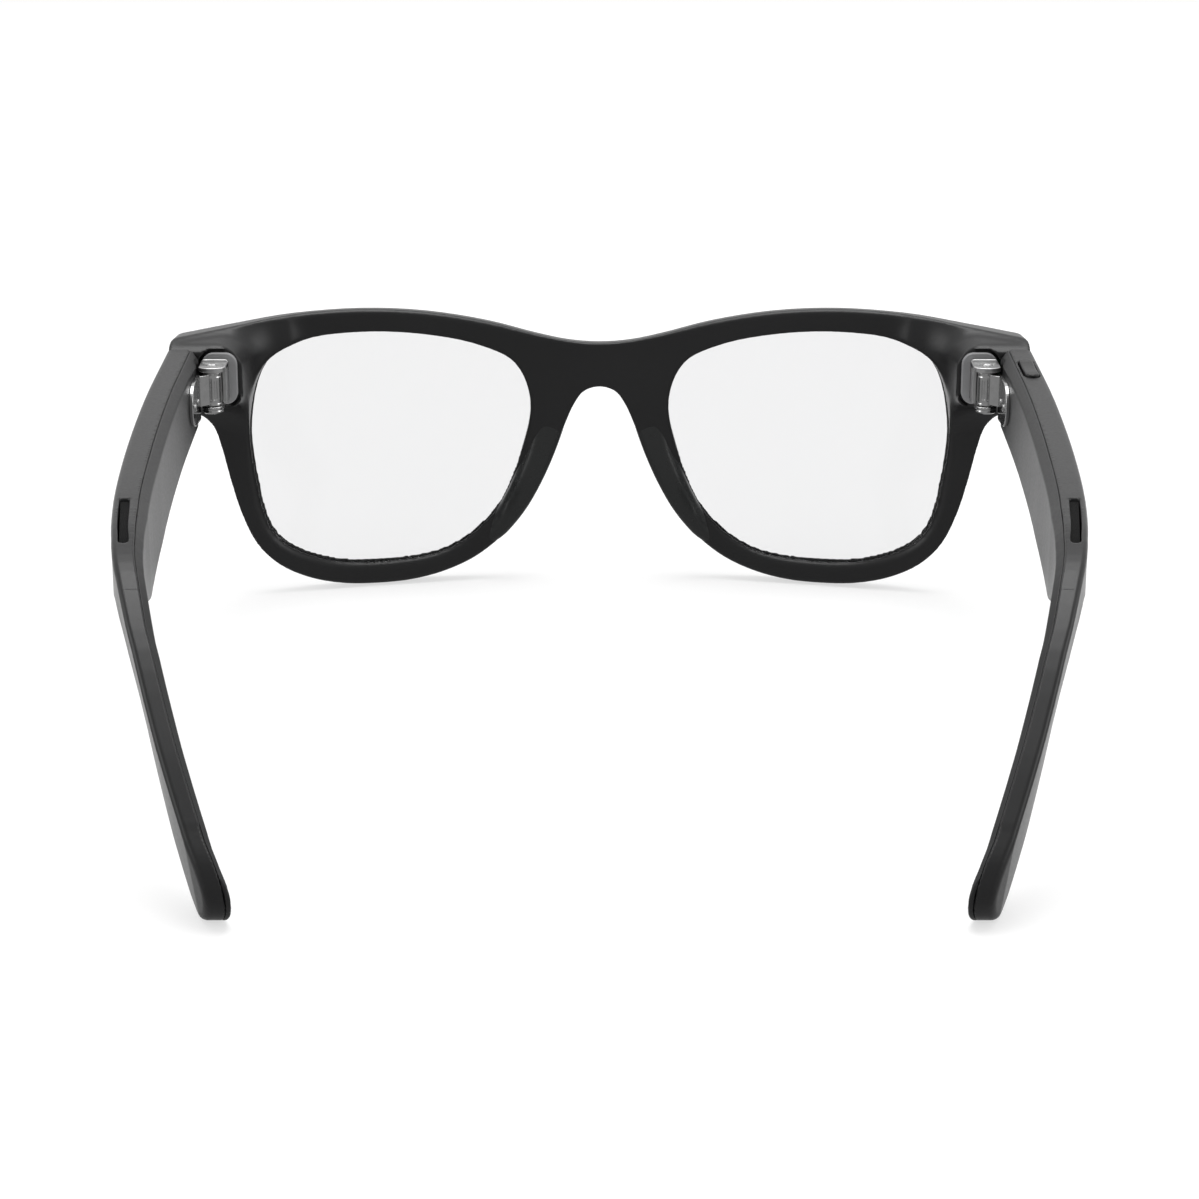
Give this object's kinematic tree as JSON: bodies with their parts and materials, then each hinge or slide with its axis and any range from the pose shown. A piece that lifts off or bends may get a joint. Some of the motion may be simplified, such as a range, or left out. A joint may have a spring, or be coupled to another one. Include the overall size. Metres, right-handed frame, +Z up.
{
  "type": "smart glasses",
  "caption": "Smart glasses standing open: a black wrapped front with clear lenses, round corner windows and thick hollow temples on steel hinges, with a press button and a slide switch.",
  "frame": {"origin": "centre of the footprint, on the surface that the open glasses stand on by their rims and temple tips", "axes": "+X to the wearer's right, +Y forward out of the lenses, +Z up"},
  "size_m": [0.1426, 0.1644, 0.0481],
  "materials": {
    "black_acetate": "satin moulded black plastic",
    "black_inner_plastic": "satin black plastic, fine moulded grain",
    "nose_pad_plastic": "polished black",
    "lens_clear": "clear, coated",
    "bezel_black": "gloss black ring",
    "window_dark": "dark camera glass",
    "window_white": "milky light window",
    "module_black": "matt black housing",
    "circuit_board": "solder mask green",
    "flex_film": "amber polyimide film",
    "steel_can": "stamped steel can",
    "gold_contact": "gold plated",
    "bay_plate_grey": "grey satin",
    "hinge_steel": "polished steel",
    "screw_steel": "bright turned steel",
    "mesh_black": "black woven mesh",
    "core_wire_steel": "drawn wire",
    "battery_pouch": "foil pouch",
    "control_black": "satin black"
  },
  "bodies": {
    "front": {"front_frame": "black_acetate", "lens_left": "lens_clear", "lens_right": "lens_clear", "nose_pad_left": "nose_pad_plastic", "nose_pad_right": "nose_pad_plastic", "camera_bezel": "bezel_black", "camera_window": "window_dark", "camera_module": "module_black", "led_bezel": "bezel_black", "led_window": "window_white", "led_board": "circuit_board", "brow_flex": "flex_film", "bridge_microphone": "steel_can", "charging_contacts": "gold_contact", "hinge_bay_plate_left": "bay_plate_grey", "hinge_bay_plate_right": "bay_plate_grey", "hinge_bracket_left": "hinge_steel", "hinge_bracket_right": "hinge_steel", "bracket_screws_left": "screw_steel", "bracket_screws_right": "screw_steel", "hinge_screw_left": "screw_steel", "hinge_screw_right": "screw_steel"},
    "temple_left": {"temple_outer_shell_left": "black_acetate", "temple_inner_shell_left": "black_inner_plastic", "hinge_leaf_left": "hinge_steel", "leaf_screws_left": "screw_steel", "speaker_left": "module_black", "sound_slot_mesh_left": "mesh_black", "sound_port_mesh_left": "mesh_black", "temple_microphone_left": "steel_can", "core_wire_left": "core_wire_steel", "battery": "battery_pouch", "charge_board": "circuit_board", "power_switch_body": "module_black"},
    "temple_right": {"temple_outer_shell_right": "black_acetate", "temple_inner_shell_right": "black_inner_plastic", "hinge_leaf_right": "hinge_steel", "leaf_screws_right": "screw_steel", "speaker_right": "module_black", "sound_slot_mesh_right": "mesh_black", "sound_port_mesh_right": "mesh_black", "temple_microphone_right": "steel_can", "core_wire_right": "core_wire_steel", "mainboard": "circuit_board", "touch_strip": "flex_film", "capture_switch": "steel_can"},
    "power_switch": {"power_switch": "control_black"},
    "capture_button": {"capture_button": "control_black"}
  },
  "joints": [
    {"name": "temple_left_fold", "type": "hinge", "parent": "front", "child": "temple_left", "pos_m": [-0.0637, 0.05215, 0.039], "axis": [0, 0, 1], "range_deg": [0, 88]},
    {"name": "temple_right_fold", "type": "hinge", "parent": "front", "child": "temple_right", "pos_m": [0.0637, 0.05215, 0.039], "axis": [0, 0, -1], "range_deg": [0, 81]},
    {"name": "capture_press", "type": "slide", "parent": "temple_right", "child": "capture_button", "axis": [0, 0.0529, -0.9986], "range_m": [0, 0.0004], "stiffness_N_per_m": 300},
    {"name": "power_slide", "type": "slide", "parent": "temple_left", "child": "power_switch", "axis": [0, 0.9986, 0.0529], "range_m": [0, 0.002]}
  ]
}
